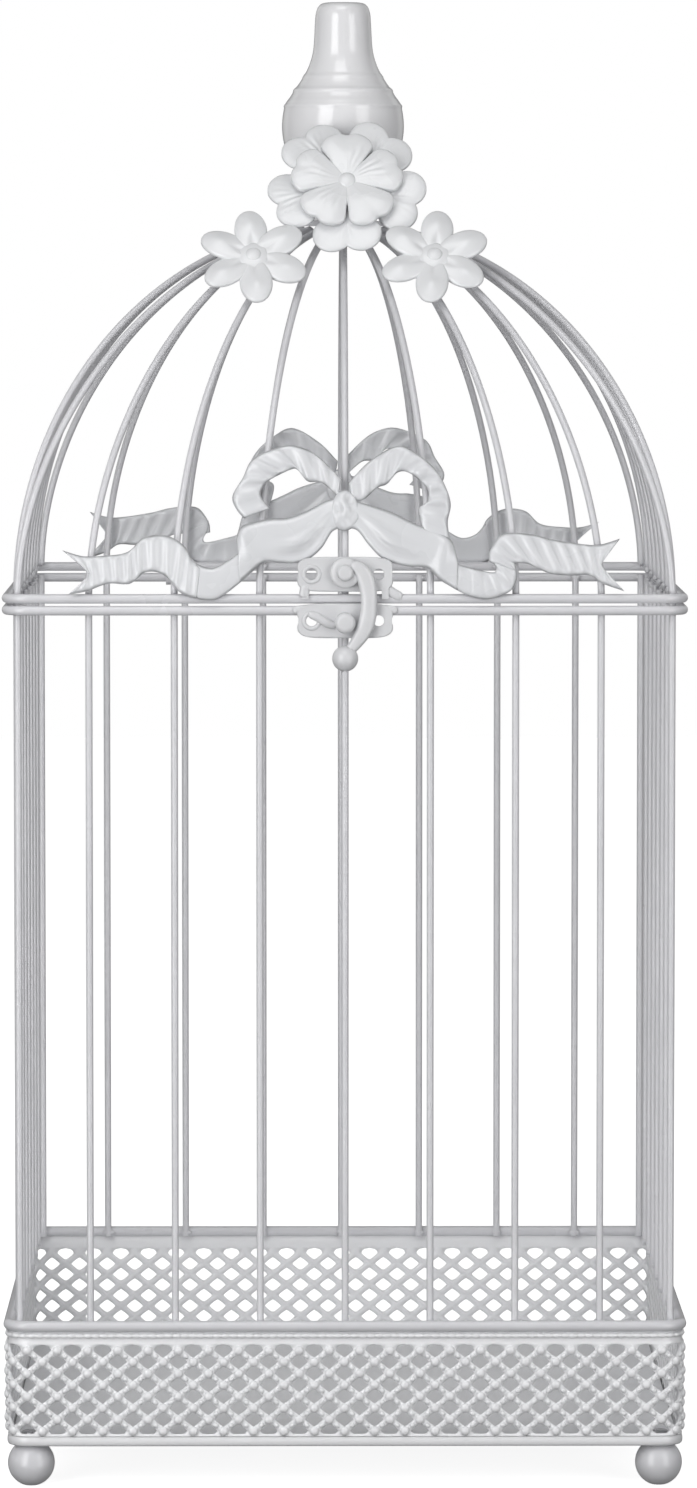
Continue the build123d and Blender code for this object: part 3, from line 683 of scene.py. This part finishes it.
# ---- bows ----
# edges of each stretch in millimetres across and up from the knot's middle; both edges run outwards
ribbons = {
    "loopLeft": {
        "outer": [(-1, 9.6), (-7.1, 15.8), (-12.2, 18.9), (-18.1, 19.6), (-27, 15.8), (-30.2, 10), (-33.2, 4.6),
                  (-32, 0.6), (-29.8, -2.1)],
        "inner": [(-2, 4.4), (-6.8, 8.5), (-11, 9), (-13.9, 12.3), (-16, 12.5), (-22.2, 9.4), (-24.3, 7.3),
                  (-24.6, 4.3), (-22, 0.9)],
        "folds": 7, "depth": 0.55, "crown": 0.5, "lift": 0.1},
    "loopRight": {
        "outer": [(1, 8.6), (7.1, 14.9), (15.4, 19.6), (21.6, 17), (27.6, 11.3), (31.1, 3), (30.3, -3.4),
                  (31.2, -10)],
        "inner": [(2, 3.4), (5.3, 3.4), (9.5, 7), (12.4, 8.2), (15.7, 11.7), (19.3, 11.3), (24, 7), (24.3, 3),
                  (21.6, 0.4), (23.2, -7)],
        "folds": 8, "depth": 0.6, "crown": 0.5, "lift": 0.1},
    "foldLeft": {
        "outer": [(0, 4), (-5, 3.3), (-11.6, 0), (-17, -1.9), (-22.2, -2.2), (-27, -3.3), (-30.5, -4.6),
                  (-32, -8), (-31.4, -12.6)],
        "inner": [(0, -5), (-3.6, -6), (-6.8, -10.9), (-10.7, -14.3), (-14.8, -15.5), (-19, -15.4), (-23.4, -15.2),
                  (-26.7, -17.3), (-31.2, -21.2)],
        "folds": 0, "depth": 0.0, "crown": 0.7, "lift": 0.5, "ridge": 1.5},
    "foldRight": {
        "outer": [(0, 4), (5.3, 2.4), (13, 0), (18, -2.4), (23.4, -4.9), (28, -6.4), (31.5, -9), (33.2, -14.5)],
        "inner": [(0, -5), (3.6, -5.8), (7.1, -10.3), (11.3, -14.3), (18.1, -16.4), (24, -16.9), (27.6, -20.2),
                  (33, -23.6)],
        "folds": 0, "depth": 0.0, "crown": 0.7, "lift": 0.5, "ridge": 1.5},
    "turnLeft": {
        "outer": [(-27, -9), (-31.1, -12.2), (-35, -14.9), (-39.1, -16.8), (-43.4, -15.6), (-46.6, -12)],
        "inner": [(-25, -16), (-31.7, -21.9), (-36, -25.1), (-39.1, -26.5), (-44.2, -25.9), (-49.2, -23.7)],
        "folds": 0, "depth": 0.0, "crown": 0.5, "lift": 0.0},
    "turnRight": {
        "outer": [(28, -12), (33.2, -15.5), (37.4, -16.9), (43.3, -18.2), (44.4, -17), (42.9, -14), (42.7, -11)],
        "inner": [(27, -20), (33.8, -24), (37.4, -25.5), (42.1, -26.2), (48.3, -24), (50.6, -20), (50, -14.6)],
        "folds": 5, "depth": 0.3, "crown": 0.5, "lift": 0.0},
    "tailLeft": {
        "outer": [(-42.5, -16.8), (-45, -14.6), (-47.4, -10.3), (-52.5, -7.3), (-59.3, -7.9), (-64.3, -12.2),
                  (-71.7, -13.3), (-77.5, -13.3), (-83.3, -11.6)],
        "inner": [(-43.5, -26), (-46.6, -25.2), (-49.2, -23.7), (-53.6, -18.9), (-58.7, -18.2), (-63.4, -21.6),
                  (-69.7, -21.6), (-76, -23.8), (-81.5, -24.9)],
        "folds": 11, "depth": 0.45, "crown": 0.45, "lift": 0.35, "notch": 7.5},
    "tailRight": {
        "outer": [(42.2, -15), (42.7, -11.6), (45.7, -7.2), (49.5, -6.4), (55.5, -7), (61.4, -8.5), (70.6, -9.9),
                  (75.3, -9.9), (81, -8.2)],
        "inner": [(50.4, -18), (49.4, -15.9), (51, -15.5), (54, -15.8), (60.2, -18.6), (66.4, -19.2), (71.8, -19.1),
                  (75.8, -21.6), (82.2, -23.9)],
        "folds": 9, "depth": 0.45, "crown": 0.45, "lift": 0.35, "notch": 6.5},
}
bow = {
    "sheet": 1.1, "lean": 12.0, "samples": 110, "across": 13,
    "knot": (4.3, 6.0), "knotRise": 2.5,
}


def ribbonShell(say):
    # squares between two edges; the front is raised by a crown across, soft folds along and an
    # optional long ridge, and the sheet thins away to nothing at its edges and ends
    count, wide = bow["samples"], bow["across"]
    outer = smoothLine(say["outer"], count)
    inner = smoothLine(say["inner"], count)
    u = np.linspace(0, 1, count)[:, None]
    v = np.linspace(0, 1, wide)[None, :]
    flat = outer[:, None, :] * (1 - v[..., None]) + inner[:, None, :] * v[..., None]
    if "notch" in say:
        mid = (outer + inner) / 2
        along = unit(np.gradient(mid, axis=0))
        pull = say["notch"] * (1 - np.abs(2 * v - 1)) * np.clip((u - 0.8) / 0.2, 0, 1) ** 1.5
        flat = flat - pull[..., None] * along[:, None, :]
    edge = 1 - np.abs(2 * v - 1) ** 6
    height = say["crown"] * (1 - (2 * v - 1) ** 2) + say["lift"]
    if say["folds"]:
        wave = np.sin(2 * np.pi * (say["folds"] * u + 0.18 * np.sin(9 * u) + 0.22 * v))
        swell = np.sin(np.pi * np.clip(u * 1.02, 0, 1)) ** 0.4
        fold = 0.5 * wave + 0.5 * np.abs(wave) ** 0.5 * np.sign(wave)
        height = height + say["depth"] * fold * edge * swell * 0.75
    if "ridge" in say:
        middle = 0.30 + 0.35 * np.sin(2.2 * u)
        crest = np.exp(-(((v - middle) / 0.10) ** 2)) * np.exp(-(((u - 0.38) / 0.22) ** 2))
        dip = np.exp(-(((v - middle - 0.22) / 0.12) ** 2)) * np.exp(-(((u - 0.42) / 0.2) ** 2))
        lip = np.exp(-(((u - 0.82) / 0.06) ** 2)) * (1 - v) ** 0.5
        height = height + say["ridge"] * (0.75 * crest - 0.7 * dip + 0.6 * lip) * edge
    thin = bow["sheet"] / 2 * np.sqrt(np.clip(1 - np.abs(2 * v - 1) ** 10, 0, 1))
    thin = thin * np.sqrt(np.clip(1 - np.abs(2 * u - 1) ** 90, 0, 1))
    front = np.concatenate([flat, (height + thin)[..., None]], axis=-1)
    back = np.concatenate([flat, (height * 0.75 - thin)[..., None]], axis=-1)
    closing = thin < 1e-6
    back[closing] = front[closing]
    points = np.concatenate([front, back[:, ::-1]], axis=1)
    return points, gridFaces(count, 2 * wide, roundColumns=True)


def knotShell():
    # a lumpy oval cushion with soft wrinkles down it
    half, tall = bow["knot"]

    def reachAt(angle):
        oval = 1 / np.sqrt((np.cos(angle) / half) ** 2 + (np.sin(angle) / tall) ** 2)
        return oval * (1 + 0.05 * np.cos(3 * angle + 1))

    def wrinkles(x, y):
        lumps = np.sin(1.25 * x + 0.6) * np.cos(0.95 * y - 0.5)
        return 0.55 * lumps + 0.3 * np.cos(1.7 * x + 0.8 * np.sin(0.7 * y))

    return pillow(reachAt, bow["knotRise"], 1.0, 44, 18, 0.55, wrinkles)


def buildBow(name, node, facing):
    lean = math.radians(bow["lean"])
    outward = np.array([0, -math.cos(lean) * facing, math.sin(lean)])
    upward = np.array([0, math.sin(lean) * facing, math.cos(lean)])
    across = np.array([facing, 0.0, 0.0])
    origin = np.array([0, -knotMiddle[0] * facing, knotMiddle[1]])
    shells = [ribbonShell(say) for say in ribbons.values()] + [knotShell()]
    shells = [(placeOn(points, origin, across, upward, outward), faces) for points, faces in shells]
    addPiece(name, shells, coats["ribbonCoat"], "lid", [node])


knotMiddle = (97.05, 290.2)     # the knot's middle, out from the cage's axis and up
buildBow("ribbon_bow_front", "bow_front", 1)
buildBow("ribbon_bow_rear", "bow_rear", -1)


# ---- flowers ----
bigFlower = {
    "place": (1.0, -34.6, 386.0), "tilt": 34.0,
    "backPetals": 5, "backMiddle": 13.5, "backStart": -90,
    "frontPetals": 5, "frontReach": 17.4, "frontStart": 90, "frontLift": 2.9,
    "tipDip": (1.0, 0.10),      # depth in mm and width in radians of the dip at a petal's tip
    "shoulder": (0.24, 0.16),   # share of the reach lost beside a slit, and its width
    "slit": (0.36, 0.035),      # share of the reach that a slit cuts, and its half width
    "rays": (0.09, 27),         # height of the fine rays and how many there are
    "swell": 0.9, "dish": 0.5,
    "twist": 5.0, "bead": 2.6,
}
smallFlowers = {
    "left": {"place": (-27.2, -52.6, 364.85), "start": 95},
    "right": {"place": (27.2, -52.6, 364.85), "start": 85},
}
smallFlower = {
    "tilt": 37.0, "petals": 6, "length": 16.4, "width": 9.8, "reach": 8.9,
    "twist": 4.0, "bead": 2.3,
}


def flowerAxes(tilt):
    lean = math.radians(tilt)
    outward = np.array([0, -math.cos(lean), math.sin(lean)])
    upward = np.array([0, math.sin(lean), math.cos(lean)])
    return np.array([1.0, 0, 0]), upward, outward


def turnedPetal(shell, angle, middle, twist, lift):
    # a petal drawn along +x about its own middle, twisted about that line, then turned into its place
    points, faces = shell
    roll, turn = math.radians(twist), math.radians(angle)
    x = points[..., 0] + middle
    y = points[..., 1] * math.cos(roll) - points[..., 2] * math.sin(roll)
    z = points[..., 1] * math.sin(roll) + points[..., 2] * math.cos(roll) + lift
    placed = [x * math.cos(turn) - y * math.sin(turn), x * math.sin(turn) + y * math.cos(turn), z]
    return np.stack(placed, axis=-1), faces


def buildBigFlower():
    axes = flowerAxes(bigFlower["tilt"])
    origin = np.array(bigFlower["place"])

    def rays(x, y):
        # fine ridges that run out from the flower's middle
        away = np.hypot(x + bigFlower["backMiddle"], y)
        turn = np.arctan2(y, x + bigFlower["backMiddle"])
        return 0.14 * np.sin(58 * turn + 0.4 * np.sin(0.9 * away)) * np.exp(-(((away - 17) / 6) ** 2))

    def fold(angle):
        # angle from the nearest slit, in radians, 0 on it and largest along a petal's middle line
        part = 2 * math.pi / bigFlower["frontPetals"]
        return np.abs((angle - math.radians(bigFlower["frontStart"])) % part - part / 2)

    def rosetteReach(angle):
        # wide petals in one sheet: a round reach, a shallow dip at each tip and a narrow slit between two
        part = math.pi / bigFlower["frontPetals"]
        gap = fold(angle)
        (dip, dipWidth), (lost, shoulderWidth), (cut, slitWidth) = (
            bigFlower["tipDip"], bigFlower["shoulder"], bigFlower["slit"])
        tip = bigFlower["frontReach"] - dip * np.exp(-(((part - gap) / dipWidth) ** 2))
        shoulder = 1 - lost * np.exp(-gap / shoulderWidth)
        return tip * shoulder * (1 - cut * np.exp(-((gap / slitWidth) ** 4)))

    def rosetteRelief(x, y):
        # a dish round the middle, petals that swell outwards, and fine rays that fade to the edge
        away, turn = np.hypot(x, y), np.arctan2(y, x)
        fine, many = bigFlower["rays"]
        rays = fine * np.sin(many * turn + 1.1 * np.sin(0.8 * away)) * np.exp(-(((away - 9) / 3.0) ** 2))
        rays = rays * np.clip(np.sin(2 * turn + 0.6) + 0.6, 0, 1)
        swell = bigFlower["swell"] * (np.clip(fold(turn) * away / 4.5, 0, 1) ** 0.6) * np.clip(away / 9, 0, 1)
        return swell - bigFlower["dish"] * np.exp(-((away / 4.5) ** 2)) + rays

    backOutline = circlesReach([(4.0, 4.4, 6.1), (4.0, -4.4, 6.1), (-4.5, 0, 5.6)])
    backPetal = pillow(backOutline, 1.3, 0.6, 72, 20, 0.5, rays)
    front = pillow(rosetteReach, 1.3, 0.7, 300, 30, 0.35, rosetteRelief)
    front = (front[0] + [0, 0, bigFlower["frontLift"]], front[1])
    between = 360 / bigFlower["backPetals"]
    backs = [turnedPetal(backPetal, bigFlower["backStart"] + between * k, bigFlower["backMiddle"],
                         bigFlower["twist"], 0.2) for k in range(bigFlower["backPetals"])]
    beadReach = circlesReach([(0, 0, bigFlower["bead"])])
    bead = pillow(beadReach, 1.0, 1.0, 32, 14, 1.0)
    bead = (bead[0] + [0, 0, bigFlower["frontLift"] + 0.8], bead[1])
    hub = pillow(circlesReach([(0, 0, 6.0)]), 1.6, 3.4, 32, 12, 0.6)
    hub = (hub[0] + [0, 0, bigFlower["frontLift"] - 1.6], hub[1])
    for name, shells, replaced in (
        ("big_flower_back_petals", backs, ["big_flower_back"]),
        ("big_flower_front_petals", [front, hub], ["big_flower_front"]),
        ("big_flower_middle", [bead], ["big_flower_bead"]),
    ):
        shells = [(placeOn(points, origin, *axes), faces) for points, faces in shells]
        addPiece(name, shells, coats["petalCoatPaintedLight"], "lid", replaced)


def buildSmallFlower(side):
    axes = flowerAxes(smallFlower["tilt"])
    origin = np.array(smallFlowers[side]["place"])
    length, width = smallFlower["length"] / 2, smallFlower["width"] / 2

    def reachAt(angle):
        # an oval that is a little fuller at its outer end
        oval = 1 / np.sqrt((np.cos(angle) / length) ** 2 + (np.sin(angle) / width) ** 2)
        return oval * (1 + 0.07 * np.cos(angle) * np.abs(np.sin(angle)))

    def puff(x, y):
        # a soft pad near the outer end and a faint crease towards the flower's middle
        pad = 0.7 * np.exp(-(((x - 2.6) / 3.2) ** 2 + (y / 2.4) ** 2))
        return pad - 0.5 * np.exp(-((y / 1.0) ** 2)) * np.exp(-(((x + 4.5) / 2.6) ** 2))

    petal = pillow(reachAt, 1.5, 0.9, 48, 20, 0.65, puff)
    petals = [turnedPetal(petal, smallFlowers[side]["start"] + 360 / smallFlower["petals"] * k,
                          smallFlower["reach"], smallFlower["twist"], 0.15 * (k % 2))
              for k in range(smallFlower["petals"])]
    hub = pillow(circlesReach([(0, 0, 5.0)]), 1.7, 1.0, 36, 12, 0.6)
    bead = pillow(circlesReach([(0, 0, smallFlower["bead"])]), 0.8, 1.0, 28, 12, 1.0)
    bead = (bead[0] + [0, 0, 1.5], bead[1])
    for name, shells, replaced in (
        (f"small_flower_{side}_petals", petals + [hub], f"small_flower_{side}"),
        (f"small_flower_{side}_middle", [bead], f"small_flower_{side}_bead"),
    ):
        shells = [(placeOn(points, origin, *axes), faces) for points, faces in shells]
        addPiece(name, shells, coats["petalCoatPaintedLight"], "lid", [replaced])


buildBigFlower()
buildSmallFlower("left")
buildSmallFlower("right")


# ---- latch ----
# the hook's middle line across and up from its rivet, and its half width at each point
castHook = {
    "line": [(1.2, 2.4), (4.3, 1.0), (6.2, -2.4), (7.0, -7.4), (6.8, -12.2), (5.6, -16.6), (3.2, -20.6),
             (0.4, -23.8)],
    "halfWidth": [1.6, 2.5, 2.5, 2.35, 2.45, 2.45, 1.9, 1.4],
    "halfDepth": 1.45,
    "eye": 4.5,
    "ball": 3.84,
}
rivetHeight = 272.4


def buildHook():
    low, high = nodeBox("latch_hook")
    back = high[1]
    ballMiddle = low[2] + castHook["ball"]
    count = 60
    line = smoothLine(castHook["line"], count)
    width = smoothLine([(float(k), w) for k, w in enumerate(castHook["halfWidth"])], count)[:, 1]
    ends = np.sqrt(np.clip(1 - np.abs(np.linspace(-1, 1, count)) ** 24, 0, 1))
    depth = castHook["halfDepth"] * ends
    level = 0 * line[:, 0] + back - castHook["halfDepth"]
    path = np.stack([line[:, 0], level, rivetHeight + line[:, 1]], axis=-1)
    along = unit(np.gradient(path, axis=0))
    front = np.broadcast_to([0.0, -1.0, 0.0], path.shape)
    side = unit(np.cross(along, front))
    arm = carried(path, side, front, width * ends, depth, 20, 0.85)
    eye = pillow(circlesReach([(0, 0, castHook["eye"])]), 1.2, 1.15, 44, 16, 0.8)
    across, upward, outward = np.array([1.0, 0, 0]), np.array([0, 0, 1.0]), np.array([0, -1.0, 0])
    eye = (placeOn(eye[0], np.array([0, back - 1.2, rivetHeight]), across, upward, outward), eye[1])
    ballBack = min(castHook["ball"], back - (low[1] + castHook["ball"]))
    ball = pillow(circlesReach([(0, 0, castHook["ball"])]), castHook["ball"], ballBack, 40, 24, 1.0)
    ballPlace = np.array([0, low[1] + castHook["ball"], ballMiddle])
    ball = (placeOn(ball[0], ballPlace, across, upward, outward), ball[1])
    addPiece("cast_hook", [arm, eye, ball], coats["latchCoat"], "hook", ["latch_hook"])


buildHook()

# ---- latch plates ----
plates = {
    "half": 13.6, "halfRise": 4.55, "corner": 5.0, "waist": 0.05, "bead": 0.6,
    "holeReach": 9.9, "collar": (2.3, 0.7),
    "sunk": 0.45,           # edges and right collars sit this far back, so the hook swings clear of them
    "halfHeight": 4.6,      # from a plate's middle to its top
    # straps as points across and up from a plate's middle
    "tongue": [(-11.0, 2.2), (-8.4, 1.2), (-5.4, -0.6), (-2.6, -1.6)],
    "wing": [(9.8, 3.6), (12.6, 3.4), (15.6, 2.9)],
    "leftFoot": [(-11.6, -3.2), (-12.0, -5.2), (-12.2, -6.9)],
    "rightFoot": [(11.4, -3.4), (13.2, -5.0), (15.4, -6.3), (17.0, -6.7)],
}


def looped(path, reach, turns=10):
    # a round bead carried along a closed path that lies in a plane facing the front
    along = unit(np.roll(path, -1, axis=0) - np.roll(path, 1, axis=0))
    front = np.broadcast_to([0.0, -1.0, 0.0], path.shape)
    side = unit(np.cross(along, front))
    angle = np.linspace(0, 2 * np.pi, turns, endpoint=False)[None, :, None]
    points = path[:, None] + reach * (np.cos(angle) * side[:, None] + np.sin(angle) * front[:, None])
    return points, gridFaces(len(path), turns, True, True)


def fingers(line, face, middle, width, depth, count=24):
    # a rounded strap that follows a few points on a plate's face and closes at both ends
    flat = smoothLine(line, count)
    ends = np.sqrt(np.clip(1 - np.abs(np.linspace(-1, 1, count)) ** 6, 0, 1))
    path = np.stack([flat[:, 0], face + 0 * flat[:, 0], middle + flat[:, 1]], axis=-1)
    along = unit(np.gradient(path, axis=0))
    front = np.broadcast_to([0.0, -1.0, 0.0], path.shape)
    return carried(path, unit(np.cross(along, front)), front, width * ends, depth * ends, 14)


def plateShells(node, middle):
    # the rolled edge of a plate and the raised collars round its two holes
    face = nodeBox(node)[0][1] + 0.15
    t = np.linspace(0, 2 * np.pi, 140, endpoint=False)
    c, s = np.cos(t), np.sin(t)
    size = (np.abs(c) ** plates["corner"] + np.abs(s) ** plates["corner"]) ** (-1 / plates["corner"])
    pinch = 1 - plates["waist"] * np.exp(-((s / 0.28) ** 2)) * np.abs(c) ** 8
    across, upward = plates["half"] * size * c * pinch, middle + plates["halfRise"] * size * s
    edge = np.stack([across, face + 0 * t, upward], axis=-1)
    sunk = np.array([0.0, plates["sunk"], 0.0])
    shells = [looped(edge + sunk, plates["bead"])]
    reach, bead = plates["collar"]
    for side in (-1, 1):
        across = side * plates["holeReach"] + reach * c
        ring = np.stack([across, face + 0.1 + 0 * t, middle + reach * s], axis=-1)
        shells.append(looped(ring[::3] + (sunk if side > 0 else 0), bead))
    return shells, face


def buildPlates():
    low, high = nodeBox("latch_plate")
    middle = high[2] - plates["halfHeight"]
    shells, face = plateShells("latch_plate", middle)
    shells.append(fingers(plates["leftFoot"], face + 0.4, middle, 1.5, 0.9))
    shells.append(fingers(plates["rightFoot"], face + 1.1, middle, 1.5, 0.9))
    addPiece("lid_plate_edging", shells, coats["latchCoat"], "lid")
    low, high = nodeBox("catch_plate")
    middle = (low[2] + high[2]) / 2
    shells, face = plateShells("catch_plate", middle)
    shells.append(fingers(plates["tongue"], face - 0.5, middle, 1.25, 0.8))
    for side in (-1, 1):
        wing = [(side * x, z) for x, z in plates["wing"]]
        shells.append(fingers(wing, face + 0.8, middle, 1.2, 0.8))
    addPiece("catch_plate_edging", shells, coats["latchCoat"], "cage")


buildPlates()

# ---- weld beads where the bars meet the rims ----
welds = {"size": (1.7, 0.9, 1.1), "roughness": 0.18, "seed": 5}


def weldBlobs(places, draw):
    # small uneven lumps: an oval cushion each, its size and the turn of its outline drawn at random
    shells = []
    for place in places:
        wide, deep, tall = np.array(welds["size"]) * draw.uniform(0.8, 1.2, 3)
        phase = draw.uniform(0, 2 * np.pi)

        def reachAt(angle):
            oval = 1 / np.sqrt((np.cos(angle) / wide) ** 2 + (np.sin(angle) / tall) ** 2)
            return oval * (1 + welds["roughness"] * np.sin(3 * angle + phase))

        blob = pillow(reachAt, deep, deep, 12, 8, 0.9)
        if abs(place[0]) > abs(place[1]):
            out = np.array([np.sign(place[0]), 0.0, 0.0])
        else:
            out = np.array([0.0, np.sign(place[1]), 0.0])
        across = np.array([-out[1], out[0], 0.0])
        shells.append((placeOn(blob[0], np.array(place), across, np.array([0, 0, 1.0]), out), blob[1]))
    return shells


def barPlaces():
    # how far out the bars of a side stand, and where along the side
    low, high = nodeBox("front_bars")
    span = (high[0] - low[0] - (high[1] - low[1])) / 2
    return -(low[1] + high[1]) / 2, np.linspace(-span, span, 7)


def buildWelds():
    draw = np.random.default_rng(welds["seed"])
    reach, bars = barPlaces()
    square = [(x, y * reach) for x in bars for y in (-1, 1)]
    square = square + [(x * reach, y) for y in bars for x in (-1, 1)]
    rims = {"cage": [nodeBox("body_rim"), nodeBox("tray_rim")], "lid": [nodeBox("lid_rim")]}
    for body, boxes in rims.items():
        heights = [(box[0][2] + box[1][2]) / 2 for box in boxes]
        places = [(x, y, z) for z in heights for x, y in square]
        addPiece(f"{body}_weld_beads", weldBlobs(places, draw), coats["wireCoat"], body)


buildWelds()

# ---- dome ribs ----
# each rib rises on a rounded curve whose power is 2 for an ellipse and less for a flatter one
domeRibs = {
    "wire": 1.05, "rise": 109.9, "stop": 0.12, "sidePower": 2.0, "facePower": 1.85,
    "points": 90, "turns": 16,
}


def ribShell(x, y, base, power):
    # place at share s of the way out: (x s, y s, base + rise (1 - s^power)^(1/power))
    last = math.acos(domeRibs["stop"] ** (power / 2))
    share = np.cos(np.linspace(0, last, domeRibs["points"])) ** (2 / power)
    height = base + domeRibs["rise"] * np.clip(1 - share**power, 0, 1) ** (1 / power)
    path = np.stack([x * share, y * share, height], axis=-1)
    aside = unit(np.array([-y, x, 0.0]))
    side = np.broadcast_to(aside, path.shape)
    front = unit(np.cross(side, unit(np.gradient(path, axis=0))))
    reach = domeRibs["wire"] * np.sqrt(np.clip(1 - np.abs(np.linspace(-1, 1, len(path))) ** 400, 0, 1))
    return carried(path, side, front, reach, reach, domeRibs["turns"])


def buildRibs():
    reach, bars = barPlaces()
    post = nodeBox("corner_posts")[1][0] - domeRibs["wire"]
    base = nodeBox("corner_ribs")[0][2]
    fronts = [(x, -reach) for x in bars]
    rears = [(x, reach) for x in bars]
    lefts = [(-reach, y) for y in bars]
    rights = [(reach, y) for y in bars]
    corners = [(x * post, y * post) for x in (-1, 1) for y in (-1, 1)]
    for name, places, power in (
        ("front", fronts, "facePower"),
        ("rear", rears, "facePower"),
        ("left", lefts, "sidePower"),
        ("right", rights, "sidePower"),
        ("corner", corners, "facePower"),
    ):
        shells = [ribShell(x, y, base, domeRibs[power]) for x, y in places]
        addPiece(f"{name}_rib_wires", shells, coats["wireCoat"], "lid", [f"{name}_ribs"])


buildRibs()

# ---- finial ----
# radius of the turned finial at each height over its foot
finialTurning = {
    "profile": [(0, 0), (9.5, 0.0), (9.6, 0.9), (8.6, 2.0), (8.2, 3.4), (8.9, 6.0), (10.6, 9.6), (13.2, 13.6),
                (16.2, 18.4), (18.0, 23.2), (18.7, 28.0), (18.5, 32.2), (17.7, 35.8), (16.1, 38.2), (14.7, 40.4),
                (12.9, 43.0), (11.1, 46.1), (9.8, 49.4), (9.1, 52.6), (8.8, 56.5), (8.6, 60.5), (8.3, 63.6),
                (7.4, 65.8), (5.4, 66.8), (0, 66.9)],
    "rings": [(35.3, 0.32, 0.55), (40.2, 0.42, 0.6), (44.4, 0.22, 0.6)],     # height, swell, half height
}


def buildFinial():
    low, high = nodeBox("finial")
    profile = smoothLine(finialTurning["profile"], 220)
    radius, height = np.maximum(profile[:, 0], 0), np.clip(profile[:, 1], 0, high[2] - low[2])
    for level, swell, spread in finialTurning["rings"]:
        radius = radius + swell * np.exp(-(((height - level) / spread) ** 2))
    radius[[0, -1]] = 0
    turn = np.linspace(0, 2 * np.pi, 96, endpoint=False)
    points = np.stack([radius[:, None] * np.cos(turn), radius[:, None] * np.sin(turn),
                       low[2] + height[:, None] + 0 * turn], axis=-1)
    addPiece("turned_finial", [(points, gridFaces(len(radius), len(turn), roundColumns=True))],
             coats["finialGlossPaintedLight"], "lid", ["finial"])


buildFinial()
